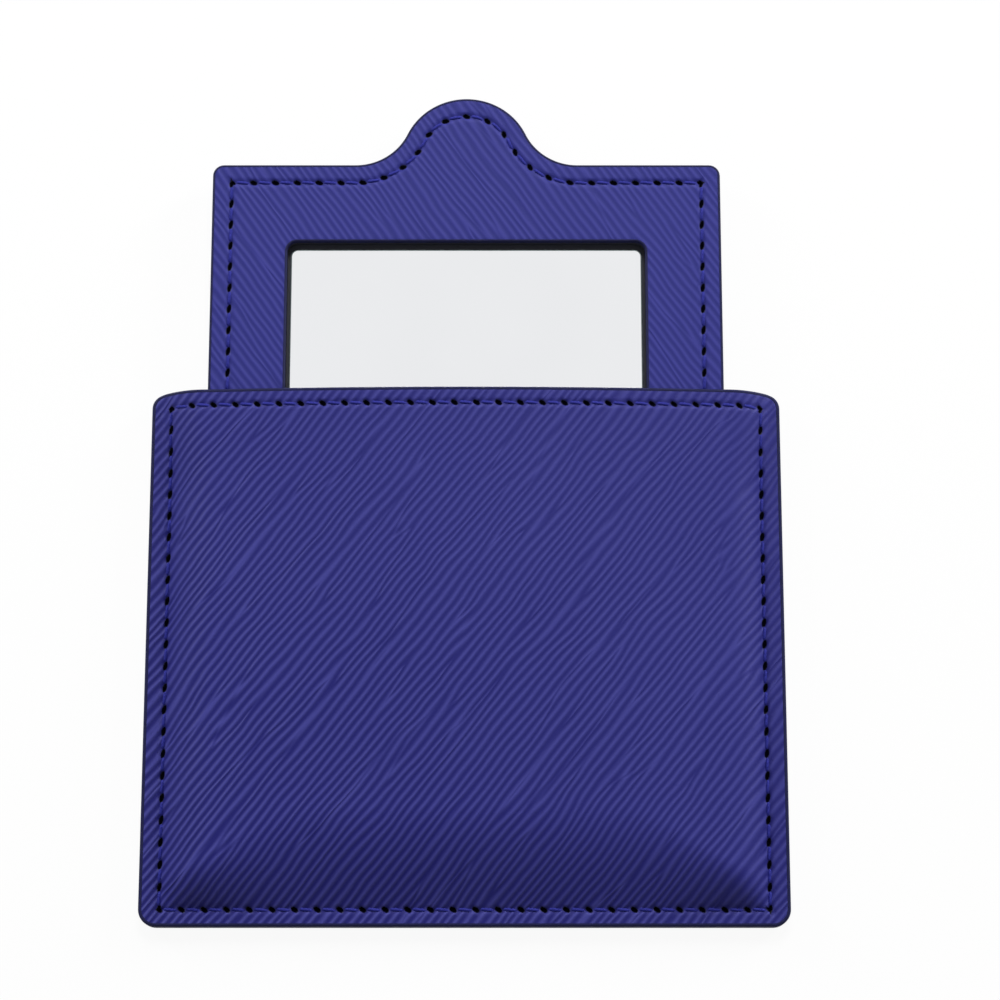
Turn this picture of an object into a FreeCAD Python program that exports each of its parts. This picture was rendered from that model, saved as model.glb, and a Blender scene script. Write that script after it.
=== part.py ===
"""Pocket mirror that slides out of a sewn leather sleeve.

The sleeve lies on its flat back. Its origin is the middle of that back face, +X runs across the
sleeve, +Y points out of the mouth, the way the mirror slides, and +Z points up from the back.
The mirror insert stands partly out of the mouth. All lengths are millimetres.
"""
import FreeCAD
import Part
import Sketcher
import enum
import math
import os

# Driving dimensions: name, value, what it measures
SIZES = (
    ("insert_width", 70.6, "mirror insert, side to side"),
    ("insert_height", 60.0, "mirror insert, bottom edge to shoulders"),
    ("insert_corner", 1.5, "rounding of the insert's corners"),
    ("tab_radius", 9.1, "round of the pull tab"),
    ("tab_rise", 0.7, "centre of that round above the shoulders"),
    ("tab_blend", 8.0, "hollow curve between tab and shoulder"),
    ("window_width", 49.6, "window in the insert's leather, side to side"),
    ("window_top", 11.2, "shoulder to window"),
    ("window_bottom", 10.4, "window to bottom edge"),
    ("window_corner", 1.4, "rounding of the window's corners"),
    ("insert_leather", 0.55, "thickness of the insert's leather"),
    ("back_board", 0.3, "thickness of the board behind the mirror"),
    ("mirror_thick", 0.9, "thickness of the glass"),
    ("mirror_corner", 1.0, "rounding of the glass's corners"),
    ("mirror_side_gap", 0.5, "glass to the sides of the window"),
    ("mirror_end_gap", 1.0, "glass to the top and bottom of the window"),
    ("tape_thick", 0.1, "thickness of the tape behind the glass"),
    ("tape_width", 10.0, "width of a strip of tape"),
    ("tape_inset", 5.0, "edge of the glass to the tape"),
    ("insert_out", 32.8, "shoulders out of the mouth as drawn"),
    ("insert_play", 0.3, "insert to the front lining, over and beside it"),
    ("insert_lift", 0.15, "back lining to the insert"),
    ("pocket_side", 5.0, "edge of the insert to the side seam"),
    ("pocket_end", 10.2, "bottom edge of the insert, pushed home, to the bottom seam"),
    ("side_margin", 2.7, "side seam to the sleeve's edge"),
    ("end_margin", 2.2, "mouth and bottom seams to the sleeve's edge"),
    ("sleeve_corner", 2.3, "rounding of the sleeve's corners"),
    ("sleeve_leather", 0.6, "thickness of the sleeve's leather"),
    ("stiffener", 0.25, "thickness of the board in each panel"),
    ("lining", 0.15, "thickness of the cloth in each panel"),
    ("glue_line", 0.05, "glue between two layers"),
    ("crown", 1.5, "rise of the raised pocket from the insert's edge to the middle"),
    ("side_crest", 1.0, "inside rounding over the insert's edge"),
    ("end_crest", 6.5, "inside rounding at the top of the bottom slope"),
    ("seam_land", 0.2, "flat leather between a seam and the foot of a slope"),
    ("seam_width", 0.9, "width of the groove that a seam draws in"),
    ("seam_depth", 0.3, "depth of that groove"),
    ("insert_margin", 2.6, "seam to the insert's edge"),
    ("thread_thick", 0.2, "height of a stitch"),
    ("thread_width", 0.5, "width of a stitch"),
    ("stitch_pitch", 3.0, "needle hole to needle hole"),
    ("stitch_gap", 0.7, "open length at a needle hole"),
    ("stitch_slant", 0.4, "how far one side of a stitch lies ahead of the other"),
    ("overrun", 1.0, "how far a cut runs past what it cuts"),
)

# Sizes that follow from the driving dimensions
FITS = (
    ("panel_thick", "=sizes.sleeve_leather + sizes.stiffener + sizes.lining + 2 * sizes.glue_line"),
    ("frame_thick", "=sizes.mirror_thick + sizes.tape_thick"),
    ("insert_thick", "=2 * sizes.insert_leather + sizes.back_board + frame_thick + 3 * sizes.glue_line"),
    ("half_width", "=sizes.insert_width / 2 + sizes.pocket_side + sizes.side_margin"),
    ("half_height", "=(sizes.insert_height + sizes.pocket_end + sizes.end_margin) / 2"),
    ("seam_x", "=half_width - sizes.side_margin"),
    ("seam_y", "=half_height - sizes.end_margin"),
    ("insert_half", "=sizes.insert_height / 2"),
    ("insert_y", "=half_height + sizes.insert_out - insert_half"),
    # Levels of the insert's layers
    ("insert_floor", "=panel_thick + sizes.insert_lift"),
    ("board_level", "=insert_floor + sizes.insert_leather + sizes.glue_line"),
    ("tape_level", "=board_level + sizes.back_board"),
    ("frame_level", "=tape_level + sizes.glue_line"),
    ("glass_level", "=tape_level + sizes.tape_thick"),
    ("face_level", "=frame_level + frame_thick + sizes.glue_line"),
    # Window and glass, measured from the insert's middle
    ("window_side", "=sizes.window_width / 2"),
    ("window_high", "=insert_half - sizes.window_top"),
    ("window_low", "=sizes.window_bottom - insert_half"),
    ("glass_side", "=window_side - sizes.mirror_side_gap"),
    ("glass_high", "=window_high - sizes.mirror_end_gap"),
    ("glass_low", "=window_low + sizes.mirror_end_gap"),
    # The raised pocket of the front panel, at the underside of its lining
    ("flange_height", "=panel_thick + sizes.glue_line"),
    ("edge_x", "=sizes.insert_width / 2"),
    ("edge_height", "=insert_floor + insert_thick + sizes.insert_play"),
    ("crest_centre", "=edge_height - sizes.side_crest"),
    ("crown_height", "=edge_height + sizes.crown"),
    ("crown_radius", "=(edge_x ^ 2 + sizes.crown ^ 2) / (2 * sizes.crown) + sizes.side_crest"),
    ("raised_base", "=panel_thick / 2"),
    ("foot_x", "=seam_x - sizes.seam_width / 2 - sizes.seam_land"),
    ("side_run", "=foot_x - edge_x"),
    ("side_fall", "=crest_centre - flange_height - panel_thick"),
    ("side_angle", "=atan(side_fall / side_run)"
                   " + asin((sizes.side_crest + panel_thick) / hypot(side_run; side_fall))"),
    ("bend_y", "=sizes.insert_height + sizes.insert_play - half_height"),
    ("foot_y", "=seam_y - sizes.seam_width / 2 - sizes.seam_land"),
    ("end_run", "=foot_y - bend_y"),
    ("end_fall", "=crown_height - flange_height"),
    ("end_round", "=sizes.end_crest + panel_thick"),
    ("end_reach", "=end_run + sqrt(end_run ^ 2 - (2 * end_round - end_fall) * end_fall)"),
    ("end_angle", "=2 * atan(end_fall / end_reach)"),
    ("sweep_end", "=flange_height - sizes.overrun"),
    ("sweep_fall", "=crown_height - sweep_end - sizes.end_crest * (1 - cos(end_angle))"),
    ("sweep_y", "=bend_y + sizes.end_crest * sin(end_angle) + sweep_fall / tan(end_angle)"),
    # Heights in the front panel, above the underside of its lining
    ("stiffener_under", "=sizes.lining + sizes.glue_line"),
    ("stiffener_over", "=stiffener_under + sizes.stiffener"),
    ("leather_under", "=stiffener_over + sizes.glue_line"),
    ("groove_floor", "=panel_thick - sizes.seam_depth"),
    ("thread_under", "=groove_floor + sizes.glue_line"),
    ("thread_over", "=thread_under + sizes.thread_thick"),
)

QUARTER = math.pi / 2
TANGENT_TOLERANCE = 1e-6
WORK_CELL = "A1"
UP = FreeCAD.Vector(0, 0, 1)

doc = FreeCAD.newDocument("pocket_mirror")
nodes = []


class Vertex(enum.IntEnum):
    """A sketch's numbers for the points of a line or an arc."""

    START = 1
    END = 2
    CENTRE = 3


class Axis(enum.IntEnum):
    """A sketch's numbers for its own axes, the first of which starts at its origin."""

    HORIZONTAL = -1
    VERTICAL = -2


def make_sheet(name, rows):
    """A sheet with one named cell to a row."""
    sheet = doc.addObject("Spreadsheet::Sheet", name)
    for number, (alias, content, *note) in enumerate(rows, start=1):
        sheet.set(f"A{number}", alias)
        sheet.set(f"B{number}", str(content))
        sheet.set(f"C{number}", "".join(note))
        sheet.setAlias(f"B{number}", alias)
    doc.recompute()
    return sheet


sizes = make_sheet("sizes", SIZES)
fits = make_sheet("fits", FITS)
work = make_sheet("work", ())


def amount(expression):
    """The number that an expression over the two sheets stands for."""
    work.set(WORK_CELL, f"={expression}")
    work.recompute()
    return float(work.get(WORK_CELL))


def radians(angle):
    return float(angle.getValueAs("rad"))


def flat(x, y):
    return FreeCAD.Vector(x, y, 0)


class Outline:
    """A closed run of lines and arcs in a sketch, each joined to the next."""

    def __init__(self, sketch):
        self.sketch = sketch
        self.pieces = []

    def line(self, start, end):
        index = self.sketch.addGeometry(Part.LineSegment(flat(*start), flat(*end)))
        along = (flat(*end) - flat(*start)).normalize()
        self.pieces.append((index, Vertex.START, Vertex.END, along, along))
        return index

    def arc(self, centre, radius, first, last):
        """Arc between two angles, clockwise where the second one is smaller."""
        circle = Part.Circle(flat(*centre), UP, radius)
        index = self.sketch.addGeometry(Part.ArcOfCircle(circle, min(first, last), max(first, last)))
        turn = 1 if last > first else -1
        ends = (Vertex.START, Vertex.END) if turn > 0 else (Vertex.END, Vertex.START)
        headings = [flat(-math.sin(angle), math.cos(angle)) * turn for angle in (first, last)]
        self.pieces.append((index, *ends, *headings))
        return index

    def join(self, pieces, following):
        """Join each piece to the one after it, smoothly where the two were drawn smooth."""
        for (one, _, end, _, leaving), (two, start, _, entering, _) in zip(pieces, following):
            smooth = leaving.cross(entering).Length < TANGENT_TOLERANCE
            kind = "Tangent" if smooth else "Coincident"
            self.sketch.addConstraint(Sketcher.Constraint(kind, one, end, two, start))

    def close(self):
        self.join(self.pieces, self.pieces[1:] + self.pieces[:1])

    def level(self, *indices):
        for index in indices:
            self.sketch.addConstraint(Sketcher.Constraint("Horizontal", index))

    def upright(self, *indices):
        for index in indices:
            self.sketch.addConstraint(Sketcher.Constraint("Vertical", index))

    def bind(self, expression, *constraint):
        index = self.sketch.addConstraint(Sketcher.Constraint(*constraint))
        self.sketch.setExpression(f"Constraints[{index}]", expression)

    def pin(self, axis, index, vertex, expression):
        """Hold a vertex at a distance from the origin, on the side where it is drawn."""
        place = self.sketch.getPoint(index, vertex)
        reach = place.x if axis == "DistanceX" else place.y
        ends = (Axis.HORIZONTAL, Vertex.START, index, vertex)
        if reach < 0:
            ends = (index, vertex, Axis.HORIZONTAL, Vertex.START)
        self.bind(f"abs({expression})", axis, *ends, abs(reach))

    def radius(self, expression, first, *others):
        """One bound radius, shared by any other arcs."""
        self.bind(expression, "Radius", first, self.sketch.Geometry[first].Radius)
        for other in others:
            self.sketch.addConstraint(Sketcher.Constraint("Equal", first, other))


def new_body(label):
    body = doc.addObject("PartDesign::Body", label)
    body.Label = label
    return body


def new_sketch(body, role, name, height=None):
    """A sketch on one of the body's own planes, raised to a bound height where one is given."""
    sketch = body.newObject("Sketcher::SketchObject", f"{body.Name}_{name}")
    plane = next(feature for feature in body.Origin.OriginFeatures if feature.Role == role)
    sketch.AttachmentSupport = [(plane, "")]
    sketch.MapMode = "FlatFace"
    if height:
        sketch.setExpression("AttachmentOffset.Base.z", height)
    return sketch


def pad(body, sketch, length):
    feature = body.newObject("PartDesign::Pad", f"{sketch.Name}_pad")
    feature.Profile = sketch
    feature.setExpression("Length", length)
    doc.recompute()


def pocket(body, sketch, length, upward=False):
    """Cut a sketch into the body, and make sure that it took something away."""
    before = body.Shape.Volume
    feature = body.newObject("PartDesign::Pocket", f"{sketch.Name}_pocket")
    feature.Profile = sketch
    feature.setExpression("Length", length)
    feature.Reversed = upward
    doc.recompute()
    if not body.Shape.Volume < before:
        raise RuntimeError(f"{feature.Name} cuts nothing")


def boolean(kind, label, base, tool):
    feature = doc.addObject(kind, label)
    feature.Label = label
    feature.Base = base
    feature.Tool = tool
    doc.recompute()
    return feature


def rounded_rectangle(sketch, side, high, low, corner):
    """A rectangle about the Y axis, from expressions for its half width, top, bottom and corner."""
    x, y1, y0, r = amount(side), amount(high), amount(low), amount(corner)
    outline = Outline(sketch)
    bottom = outline.line((r - x, y0), (x - r, y0))
    low_right = outline.arc((x - r, y0 + r), r, -QUARTER, 0)
    right = outline.line((x, y0 + r), (x, y1 - r))
    high_right = outline.arc((x - r, y1 - r), r, 0, QUARTER)
    top = outline.line((x - r, y1), (r - x, y1))
    high_left = outline.arc((r - x, y1 - r), r, QUARTER, 2 * QUARTER)
    left = outline.line((-x, y1 - r), (-x, y0 + r))
    low_left = outline.arc((r - x, y0 + r), r, 2 * QUARTER, 3 * QUARTER)
    outline.close()
    outline.level(bottom, top)
    outline.upright(right, left)
    outline.radius(corner, low_right, high_right, high_left, low_left)
    outline.pin("DistanceX", right, Vertex.START, side)
    outline.pin("DistanceX", left, Vertex.START, side)
    outline.pin("DistanceY", top, Vertex.START, high)
    outline.pin("DistanceY", bottom, Vertex.START, low)


def sleeve_outline(sketch, grow="0"):
    """The sleeve's plan outline, or one that stands clear of it all round."""
    side = f"(fits.half_width + {grow})"
    end = f"(fits.half_height + {grow})"
    rounded_rectangle(sketch, side, end, f"-{end}", "sizes.sleeve_corner")


def sleeve_seam_ring(sketch):
    """Both edges of the groove along the sleeve's seams."""
    for sign in "+-":
        side = f"(fits.seam_x {sign} sizes.seam_width / 2)"
        end = f"(fits.seam_y {sign} sizes.seam_width / 2)"
        rounded_rectangle(sketch, side, end, f"-{end}", "sizes.seam_width / 2")


def tab_joint():
    """Where the hollow curve leaves the shoulder, and the angle at which it meets the tab."""
    drop = sizes.tab_blend - sizes.tab_rise
    blend_x = math.sqrt((sizes.tab_radius + sizes.tab_blend) ** 2 - drop ** 2)
    return blend_x, math.atan2(drop, blend_x)


def insert_outline(sketch, inset="0", rounded=True):
    """The insert's outline with its pull tab, or a square-cornered one that lies inside it."""
    inside = amount(inset)
    side = sizes.insert_width / 2 - inside
    high = fits.insert_half - inside
    corner = sizes.insert_corner if rounded else 0
    blend_x, meeting = tab_joint()
    blend = sizes.tab_blend + inside
    blend_y = fits.insert_half + sizes.tab_blend
    tab_y = fits.insert_half + sizes.tab_rise
    outline = Outline(sketch)
    corners = []

    def turn(x, y, first):
        if rounded:
            corners.append(outline.arc((x, y), corner, first, first + QUARTER))

    bottom = outline.line((corner - side, -high), (side - corner, -high))
    turn(side - corner, corner - high, -QUARTER)
    right = outline.line((side, corner - high), (side, high - corner))
    turn(side - corner, high - corner, 0)
    right_shoulder = outline.line((side - corner, high), (blend_x, high))
    right_blend = outline.arc((blend_x, blend_y), blend, 3 * QUARTER, 2 * QUARTER + meeting)
    tab = outline.arc((0, tab_y), sizes.tab_radius - inside, meeting, 2 * QUARTER - meeting)
    left_blend = outline.arc((-blend_x, blend_y), blend, -meeting, -QUARTER)
    left_shoulder = outline.line((-blend_x, high), (corner - side, high))
    turn(corner - side, high - corner, QUARTER)
    left = outline.line((-side, high - corner), (-side, corner - high))
    turn(corner - side, corner - high, 2 * QUARTER)
    outline.close()
    outline.level(bottom, right_shoulder, left_shoulder)
    outline.upright(right, left)
    if rounded:
        outline.radius("sizes.insert_corner", *corners)
    outline.radius(f"sizes.tab_radius - ({inset})", tab)
    outline.radius(f"sizes.tab_blend + ({inset})", right_blend, left_blend)
    for index in (right, left):
        outline.pin("DistanceX", index, Vertex.START, f"sizes.insert_width / 2 - ({inset})")
    for index in (bottom, right_shoulder, left_shoulder):
        outline.pin("DistanceY", index, Vertex.START, f"fits.insert_half - ({inset})")
    sketch.addConstraint(Sketcher.Constraint("PointOnObject", tab, Vertex.CENTRE, Axis.VERTICAL))
    outline.pin("DistanceY", tab, Vertex.CENTRE, "fits.insert_half + sizes.tab_rise")


def insert_seam_ring(sketch):
    """Both edges of the groove along the insert's seam."""
    for sign in "+-":
        insert_outline(sketch, f"sizes.insert_margin {sign} sizes.seam_width / 2", rounded=False)


def raised_section(sketch, height):
    """Cross-section of the raised pocket: crown, rounds over the insert's edges and side slopes.

    Height is how far the drawn surface lies above the underside of the lining. All the rounds
    keep their centres from layer to layer, so that each layer keeps its thickness.
    """
    slope_x = (f"fits.edge_x + (sizes.side_crest + {height} + (fits.crest_centre - fits.raised_base)"
               " * cos(fits.side_angle)) / sin(fits.side_angle)")
    x, z = fits.edge_x, fits.crest_centre
    crest = sizes.side_crest + amount(height)
    crown = fits.crown_radius + amount(height)
    crown_z = fits.crown_height - fits.crown_radius
    lean = radians(fits.side_angle)
    tilt = math.atan2(x, z - crown_z)
    base_x, base_z = amount(slope_x), fits.raised_base
    top_x, top_z = x + crest * math.sin(lean), z + crest * math.cos(lean)
    outline = Outline(sketch)
    base = outline.line((-base_x, base_z), (base_x, base_z))
    outline.line((base_x, base_z), (top_x, top_z))
    right = outline.arc((x, z), crest, QUARTER - lean, QUARTER - tilt)
    middle = outline.arc((0, crown_z), crown, QUARTER - tilt, QUARTER + tilt)
    left = outline.arc((-x, z), crest, QUARTER + tilt, QUARTER + lean)
    outline.line((-top_x, top_z), (-base_x, base_z))
    outline.close()
    outline.level(base)
    outline.radius(f"sizes.side_crest + {height}", right, left)
    outline.radius(f"fits.crown_radius + {height}", middle)
    for index in (right, left):
        outline.pin("DistanceX", index, Vertex.CENTRE, "fits.edge_x")
        outline.pin("DistanceY", index, Vertex.CENTRE, "fits.crest_centre")
    outline.pin("DistanceX", base, Vertex.START, slope_x)
    outline.pin("DistanceX", base, Vertex.END, slope_x)
    outline.pin("DistanceY", base, Vertex.START, "fits.raised_base")


def pocket_path(sketch, start):
    """Path of the raised pocket: level from the mouth, then bent down to the bottom seam."""
    bend, high, low = -fits.bend_y, fits.crown_height, fits.sweep_end
    turn = radians(fits.end_angle)
    centre_z = high - sizes.end_crest
    bent = (bend - sizes.end_crest * math.sin(turn), centre_z + sizes.end_crest * math.cos(turn))
    path = Outline(sketch)
    level = path.line((amount(start), high), (bend, high))
    round_off = path.arc((bend, centre_z), sizes.end_crest, QUARTER, QUARTER + turn)
    fall = path.line(bent, (-fits.sweep_y, low))
    path.join(path.pieces[:-1], path.pieces[1:])
    path.level(level)
    path.radius("sizes.end_crest", round_off)
    path.pin("DistanceX", level, Vertex.START, start)
    path.pin("DistanceY", level, Vertex.START, "fits.crown_height")
    path.pin("DistanceX", round_off, Vertex.CENTRE, "fits.bend_y")
    path.pin("DistanceX", fall, Vertex.END, "fits.sweep_y")
    path.pin("DistanceY", fall, Vertex.END, "fits.sweep_end")


def formed_block(label, height, grow="sizes.overrun"):
    """Everything under one surface of the front panel: a flat flange and the raised pocket."""
    body = new_body(label)
    plan = new_sketch(body, "XY_Plane", "plan")
    sleeve_outline(plan, grow)
    pad(body, plan, f"fits.flange_height + {height}")
    mouth = f"(fits.half_height + {grow})"
    section = new_sketch(body, "XZ_Plane", "section", f"-{mouth}")
    raised_section(section, height)
    path = new_sketch(body, "YZ_Plane", "path")
    pocket_path(path, mouth)
    doc.recompute()
    sweep = body.newObject("PartDesign::AdditivePipe", f"{label}_sweep")
    sweep.Profile = section
    sweep.Spine = (path, [])
    doc.recompute()
    below = new_sketch(body, "XY_Plane", "below")
    sleeve_outline(below, grow)
    pocket(body, below, "fits.crown_height")
    return body


def formed_layer(label, over, under):
    """A layer of the front panel between two heights above the underside of its lining."""
    outer = formed_block(f"{label}_over", over, grow="0")
    inner = formed_block(f"{label}_under", under)
    return boolean("Part::Cut", label, outer, inner)


def place(body, level, insert=False):
    """Set a flat layer at its level, and the insert's layers at the insert's place."""
    body.setExpression("Placement.Base.z", level)
    if insert:
        body.setExpression("Placement.Base.y", "fits.insert_y")
    nodes.append(body)


def sleeve_plate(label, thickness, level):
    """A flat layer of the sleeve's back panel."""
    body = new_body(label)
    plan = new_sketch(body, "XY_Plane", "plan")
    sleeve_outline(plan)
    pad(body, plan, thickness)
    place(body, level)
    return body


def insert_plate(label, thickness, level):
    """A flat layer of the insert with its pull tab."""
    body = new_body(label)
    plan = new_sketch(body, "XY_Plane", "plan")
    insert_outline(plan)
    pad(body, plan, thickness)
    place(body, level, insert=True)
    return body


def cut_window(body, thickness):
    """The opening over the mirror, right through a layer."""
    window = new_sketch(body, "XY_Plane", "window")
    high, low = "fits.window_high", "fits.window_low"
    rounded_rectangle(window, "fits.window_side", high, low, "sizes.window_corner")
    pocket(body, window, f"{thickness} + sizes.overrun", upward=True)


def stitch_plan(first, second):
    """Plan of one stitch between two needle holes, with slanted ends as the needle leaves them."""
    along = (second - first).normalize()
    start = first + along * (sizes.stitch_gap / 2)
    end = second - along * (sizes.stitch_gap / 2)
    side = UP.cross(along) * (sizes.thread_width / 2) + along * (sizes.stitch_slant / 2)
    return Part.Face(Part.makePolygon([start - side, end - side, end + side, start + side, start - side]))


def stitches(label, runs, height):
    """Upright stitch blocks along runs of edges, with a needle hole at both ends of each run."""
    blocks = []
    for edges in runs:
        wire = Part.Wire(Part.__sortEdges__(edges))
        count = max(1, round(wire.Length / sizes.stitch_pitch))
        holes = wire.discretize(Number=count + 1)
        for first, second in zip(holes, holes[1:]):
            blocks.append(stitch_plan(first, second).extrude(UP * height))
    feature = doc.addObject("Part::Feature", label)
    feature.Label = label
    feature.Shape = Part.makeCompound(blocks)
    return feature


def straight_runs(*corners):
    """One straight run from each corner to the next."""
    points = [flat(*corner) for corner in corners]
    return [[Part.makeLine(first, second)] for first, second in zip(points, points[1:])]


def sleeve_seam_runs():
    """Down one side of the sleeve, along the bottom and up the other side."""
    x, y = fits.seam_x, fits.seam_y
    return straight_runs((-x, y), (-x, -y), (x, -y), (x, y))


def mouth_runs():
    return straight_runs((-fits.seam_x, fits.seam_y), (fits.seam_x, fits.seam_y))


def insert_seam_runs():
    """Over the shoulders and the tab in one run, then round the other three sides."""
    side = sizes.insert_width / 2 - sizes.insert_margin
    high = fits.insert_half - sizes.insert_margin
    blend_x, meeting = tab_joint()
    blend = sizes.tab_blend + sizes.insert_margin
    blend_y = fits.insert_half + sizes.tab_blend
    tab_y = fits.insert_half + sizes.tab_rise
    tab = Part.Circle(flat(0, tab_y), UP, sizes.tab_radius - sizes.insert_margin)
    right = Part.Circle(flat(blend_x, blend_y), UP, blend)
    left = Part.Circle(flat(-blend_x, blend_y), UP, blend)
    top_run = [
        Part.makeLine(flat(-side, high), flat(-blend_x, high)),
        Part.ArcOfCircle(left, -QUARTER, -meeting).toShape(),
        Part.ArcOfCircle(tab, meeting, 2 * QUARTER - meeting).toShape(),
        Part.ArcOfCircle(right, 2 * QUARTER + meeting, 3 * QUARTER).toShape(),
        Part.makeLine(flat(blend_x, high), flat(side, high)),
    ]
    return [top_run] + straight_runs((side, high), (side, -high), (-side, -high), (-side, high))


def flat_thread(label, runs, level, insert=False):
    """Stitches that lie in the groove of a flat face."""
    place(stitches(label, runs, sizes.thread_thick), level, insert)


def sleeve_back():
    leather = sleeve_plate("sleeve_back_leather", "sizes.sleeve_leather", "0")
    groove = new_sketch(leather, "XY_Plane", "groove")
    sleeve_seam_ring(groove)
    pocket(leather, groove, "sizes.seam_depth", upward=True)
    board_level = "sizes.sleeve_leather + sizes.glue_line"
    sleeve_plate("sleeve_back_stiffener", "sizes.stiffener", board_level)
    sleeve_plate("sleeve_back_lining", "sizes.lining", "fits.panel_thick - sizes.lining")
    thread_level = "sizes.seam_depth - sizes.glue_line - sizes.thread_thick"
    flat_thread("seam_bobbin_thread", sleeve_seam_runs(), thread_level)
    flat_thread("back_mouth_thread", mouth_runs(), thread_level)


def sleeve_front():
    """Formed layers, the groove that the seams draw in, and stitches that follow the form."""
    nodes.append(formed_layer("sleeve_front_lining", "sizes.lining", "0"))
    nodes.append(formed_layer("sleeve_front_stiffener", "fits.stiffener_over", "fits.stiffener_under"))
    skin = formed_layer("front_skin", "fits.panel_thick", "fits.leather_under")

    ring = new_body("seam_ring")
    plan = new_sketch(ring, "XY_Plane", "plan")
    sleeve_seam_ring(plan)
    pad(ring, plan, "fits.crown_height + fits.panel_thick + sizes.overrun")
    floor = formed_block("groove_floor_block", "fits.groove_floor")
    groove = boolean("Part::Cut", "front_groove", ring, floor)
    nodes.append(boolean("Part::Cut", "sleeve_front_leather", skin, groove))

    bed = formed_layer("front_thread_bed", "fits.thread_over", "fits.thread_under")
    height = fits.crown_height + fits.panel_thick
    rows = (("seam_needle_thread", sleeve_seam_runs()), ("front_mouth_thread", mouth_runs()))
    for label, runs in rows:
        blocks = stitches(f"{label}_blocks", runs, height)
        nodes.append(boolean("Part::Common", label, bed, blocks))


def mirror_insert():
    """Two leathers, a board, the frame that holds the glass, the glass and its tape."""
    back = insert_plate("insert_back_leather", "sizes.insert_leather", "fits.insert_floor")
    groove = new_sketch(back, "XY_Plane", "groove")
    insert_seam_ring(groove)
    pocket(back, groove, "sizes.seam_depth", upward=True)
    insert_plate("insert_back_board", "sizes.back_board", "fits.board_level")

    frame = insert_plate("insert_core_frame", "fits.frame_thick", "fits.frame_level")
    cut_window(frame, "fits.frame_thick")

    glass = new_body("mirror_glass")
    plan = new_sketch(glass, "XY_Plane", "plan")
    rounded_rectangle(plan, "fits.glass_side", "fits.glass_high", "fits.glass_low", "sizes.mirror_corner")
    pad(glass, plan, "sizes.mirror_thick")
    place(glass, "fits.glass_level", insert=True)

    face = insert_plate("insert_front_leather", "sizes.insert_leather", "fits.face_level")
    cut_window(face, "sizes.insert_leather")
    groove = new_sketch(face, "XY_Plane", "groove", "sizes.insert_leather")
    insert_seam_ring(groove)
    pocket(face, groove, "sizes.seam_depth")

    runs = insert_seam_runs()
    over = "fits.face_level + sizes.insert_leather - sizes.seam_depth + sizes.glue_line"
    flat_thread("insert_needle_thread", runs, over, insert=True)
    under = "fits.insert_floor + sizes.seam_depth - sizes.glue_line - sizes.thread_thick"
    flat_thread("insert_bobbin_thread", runs, under, insert=True)


def mirror_tape():
    """Two upright strips behind the glass, one near each side."""
    tape = new_body("mirror_tape")
    plan = new_sketch(tape, "XY_Plane", "plan")
    outside = "(fits.glass_side - sizes.tape_inset)"
    inside = f"({outside} - sizes.tape_width)"
    high = "(fits.glass_high - sizes.tape_inset)"
    low = "(fits.glass_low + sizes.tape_inset)"
    x0, x1, y0, y1 = amount(inside), amount(outside), amount(low), amount(high)
    for side in (1, -1):
        strip = Outline(plan)
        bottom = strip.line((side * x0, y0), (side * x1, y0))
        outer = strip.line((side * x1, y0), (side * x1, y1))
        top = strip.line((side * x1, y1), (side * x0, y1))
        inner = strip.line((side * x0, y1), (side * x0, y0))
        strip.close()
        strip.level(bottom, top)
        strip.upright(outer, inner)
        strip.pin("DistanceX", outer, Vertex.START, outside)
        strip.pin("DistanceX", inner, Vertex.START, inside)
        strip.pin("DistanceY", top, Vertex.START, high)
        strip.pin("DistanceY", bottom, Vertex.START, low)
    pad(tape, plan, "sizes.tape_thick")
    place(tape, "fits.tape_level", insert=True)


def check_document():
    """Stop if any object failed to build or any sub-part isn't sound."""
    doc.recompute()
    for item in doc.Objects:
        if "Invalid" in item.State or "Error" in item.State:
            raise RuntimeError(f"{item.Label} failed: {item.State}")
    for node in nodes:
        if node.Shape.isNull() or not node.Shape.isValid() or not node.Shape.Solids:
            raise RuntimeError(f"{node.Label} has no sound solid")


def write_nodes():
    os.makedirs("parts", exist_ok=True)
    for node in nodes:
        node.Shape.exportStep(f"parts/{node.Label}.step")
        print(f"{node.Label}: {len(node.Shape.Solids)} solids, {node.Shape.Volume:.1f} mm3")


sleeve_back()
sleeve_front()
mirror_insert()
mirror_tape()
check_document()
write_nodes()
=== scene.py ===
"""Looks of the pocket mirror: grained leather, painted edges, sunken stitches and a silvered mirror.

Shapes are worked out in millimetres in the frame of the solids and written to meshes in metres.
"""
import math
from typing import NamedTuple

import bmesh
import bpy
import numpy as np
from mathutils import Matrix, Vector
from mathutils.geometry import delaunay_2d_cdt
from mathutils.kdtree import KDTree


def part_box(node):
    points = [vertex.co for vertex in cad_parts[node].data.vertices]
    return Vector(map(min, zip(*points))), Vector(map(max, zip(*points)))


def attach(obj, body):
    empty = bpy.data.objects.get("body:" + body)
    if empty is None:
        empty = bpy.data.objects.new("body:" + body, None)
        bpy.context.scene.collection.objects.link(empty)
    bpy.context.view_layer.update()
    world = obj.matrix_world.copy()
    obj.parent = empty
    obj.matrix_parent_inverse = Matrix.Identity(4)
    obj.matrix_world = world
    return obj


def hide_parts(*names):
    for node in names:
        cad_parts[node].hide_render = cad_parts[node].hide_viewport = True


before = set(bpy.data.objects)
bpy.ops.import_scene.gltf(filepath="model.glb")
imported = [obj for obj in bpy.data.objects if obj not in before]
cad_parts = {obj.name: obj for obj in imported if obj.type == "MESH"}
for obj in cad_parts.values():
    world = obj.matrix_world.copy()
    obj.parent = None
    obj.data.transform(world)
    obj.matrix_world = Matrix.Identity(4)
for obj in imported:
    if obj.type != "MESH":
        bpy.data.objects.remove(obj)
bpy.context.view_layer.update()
MM = 0.001


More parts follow.
